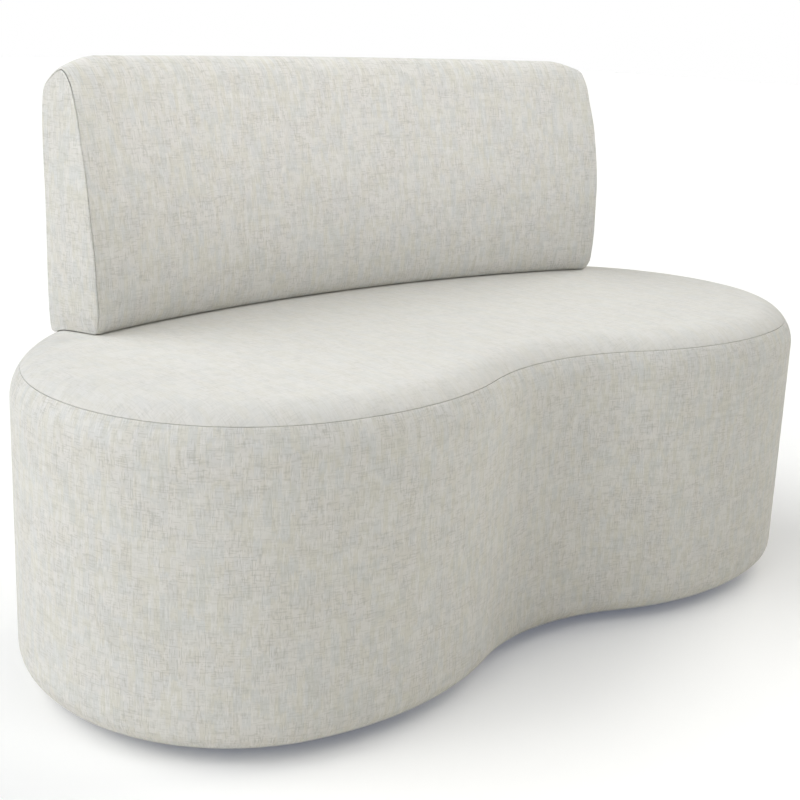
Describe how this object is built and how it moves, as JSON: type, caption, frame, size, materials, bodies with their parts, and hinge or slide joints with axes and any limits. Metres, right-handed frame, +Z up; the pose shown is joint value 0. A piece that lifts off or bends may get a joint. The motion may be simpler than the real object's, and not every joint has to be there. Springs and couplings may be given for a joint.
{
  "type": "curved sofa",
  "caption": "Compact curved sofa with a bean-shaped upholstered base, a concave bay in its front, a curved low back and hidden levelling glides.",
  "frame": {"origin": "middle of the bounding box on the floor, under the base", "axes": "+X to the right as seen from the front, +Y to the rear, +Z up; the seat faces -Y"},
  "size_m": [1.3086, 0.733, 0.7939],
  "materials": {
    "cover_fabric": "undyed slub weave with a soft grey, blue-grey and beige mottle",
    "foam": "open-cell upholstery foam",
    "wadding": "soft fibre wadding",
    "plywood": "raw birch plywood with layered edges",
    "hardwood": "raw planed beech",
    "webbing": "woven elastic webbing",
    "dust_cloth": "black non-woven cloth",
    "glide_plastic": "matt black hard plastic",
    "zinc_steel": "zinc-plated steel"
  },
  "bodies": {
    "sofa": {"back_bottom_rail": "plywood", "back_end_cover_left": "cover_fabric", "back_end_cover_right": "cover_fabric", "back_end_foam_left": "foam", "back_end_foam_right": "foam", "back_front_cover": "cover_fabric", "back_front_foam": "foam", "back_front_panel": "plywood", "back_rear_cover": "cover_fabric", "back_rear_foam": "foam", "back_rear_panel": "plywood", "back_rib_end_left": "plywood", "back_rib_end_right": "plywood", "back_rib_inner_left": "plywood", "back_rib_inner_right": "plywood", "back_screws": "zinc_steel", "back_top_rail": "plywood", "back_upright_left": "hardwood", "back_upright_middle": "hardwood", "back_upright_right": "hardwood", "base_plate": "plywood", "base_rib_left": "plywood", "base_rib_middle": "plywood", "base_rib_right": "plywood", "base_screws": "zinc_steel", "deck_front_board": "plywood", "deck_left_board": "plywood", "deck_middle_board": "plywood", "deck_rear_board": "plywood", "deck_right_board": "plywood", "deck_screws": "zinc_steel", "dust_cover": "dust_cloth", "glide_tee_nuts": "zinc_steel", "hem_staples": "zinc_steel", "seat_foam": "foam", "seat_top_cover": "cover_fabric", "seat_wadding": "wadding", "side_band_cover": "cover_fabric", "side_foam": "foam", "upright_bolts": "zinc_steel", "upright_nuts": "zinc_steel", "upright_washers": "zinc_steel", "wall_posts": "hardwood", "wall_skin_front": "plywood", "wall_skin_rear": "plywood", "webbing_crosswise": "webbing", "webbing_lengthwise": "webbing"},
    "pad_front_right": {"glide_pad_front_right": "glide_plastic"},
    "stem_front_right": {"glide_stem_front_right": "zinc_steel"},
    "pad_side_right": {"glide_pad_side_right": "glide_plastic"},
    "stem_side_right": {"glide_stem_side_right": "zinc_steel"},
    "pad_rear_right": {"glide_pad_rear_right": "glide_plastic"},
    "stem_rear_right": {"glide_stem_rear_right": "zinc_steel"},
    "pad_rear_left": {"glide_pad_rear_left": "glide_plastic"},
    "stem_rear_left": {"glide_stem_rear_left": "zinc_steel"},
    "pad_side_left": {"glide_pad_side_left": "glide_plastic"},
    "stem_side_left": {"glide_stem_side_left": "zinc_steel"},
    "pad_front_left": {"glide_pad_front_left": "glide_plastic"},
    "stem_front_left": {"glide_stem_front_left": "zinc_steel"}
  },
  "joints": [
    {"name": "level_front_right", "type": "slide", "parent": "sofa", "child": "pad_front_right", "axis": [0, 0, -1], "range_m": [0, 0.01]},
    {"name": "thread_front_right", "type": "hinge", "parent": "pad_front_right", "child": "stem_front_right", "pos_m": [0.3, -0.272, 0.006], "axis": [0, 0, -1], "range_deg": [0, 2880]},
    {"name": "level_side_right", "type": "slide", "parent": "sofa", "child": "pad_side_right", "axis": [0, 0, -1], "range_m": [0, 0.01]},
    {"name": "thread_side_right", "type": "hinge", "parent": "pad_side_right", "child": "stem_side_right", "pos_m": [0.545, -0.02, 0.006], "axis": [0, 0, -1], "range_deg": [0, 2880]},
    {"name": "level_rear_right", "type": "slide", "parent": "sofa", "child": "pad_rear_right", "axis": [0, 0, -1], "range_m": [0, 0.01]},
    {"name": "thread_rear_right", "type": "hinge", "parent": "pad_rear_right", "child": "stem_rear_right", "pos_m": [0.21, 0.24, 0.006], "axis": [0, 0, -1], "range_deg": [0, 2880]},
    {"name": "level_rear_left", "type": "slide", "parent": "sofa", "child": "pad_rear_left", "axis": [0, 0, -1], "range_m": [0, 0.01]},
    {"name": "thread_rear_left", "type": "hinge", "parent": "pad_rear_left", "child": "stem_rear_left", "pos_m": [-0.21, 0.24, 0.006], "axis": [0, 0, -1], "range_deg": [0, 2880]},
    {"name": "level_side_left", "type": "slide", "parent": "sofa", "child": "pad_side_left", "axis": [0, 0, -1], "range_m": [0, 0.01]},
    {"name": "thread_side_left", "type": "hinge", "parent": "pad_side_left", "child": "stem_side_left", "pos_m": [-0.545, -0.02, 0.006], "axis": [0, 0, -1], "range_deg": [0, 2880]},
    {"name": "level_front_left", "type": "slide", "parent": "sofa", "child": "pad_front_left", "axis": [0, 0, -1], "range_m": [0, 0.01]},
    {"name": "thread_front_left", "type": "hinge", "parent": "pad_front_left", "child": "stem_front_left", "pos_m": [-0.3, -0.272, 0.006], "axis": [0, 0, -1], "range_deg": [0, 2880]}
  ],
  "couplings": [
    {"joint": "thread_front_right", "follows": "level_front_right", "rad_per_m": 5026.5},
    {"joint": "thread_side_right", "follows": "level_side_right", "rad_per_m": 5026.5},
    {"joint": "thread_rear_right", "follows": "level_rear_right", "rad_per_m": 5026.5},
    {"joint": "thread_rear_left", "follows": "level_rear_left", "rad_per_m": 5026.5},
    {"joint": "thread_side_left", "follows": "level_side_left", "rad_per_m": 5026.5},
    {"joint": "thread_front_left", "follows": "level_front_left", "rad_per_m": 5026.5}
  ]
}
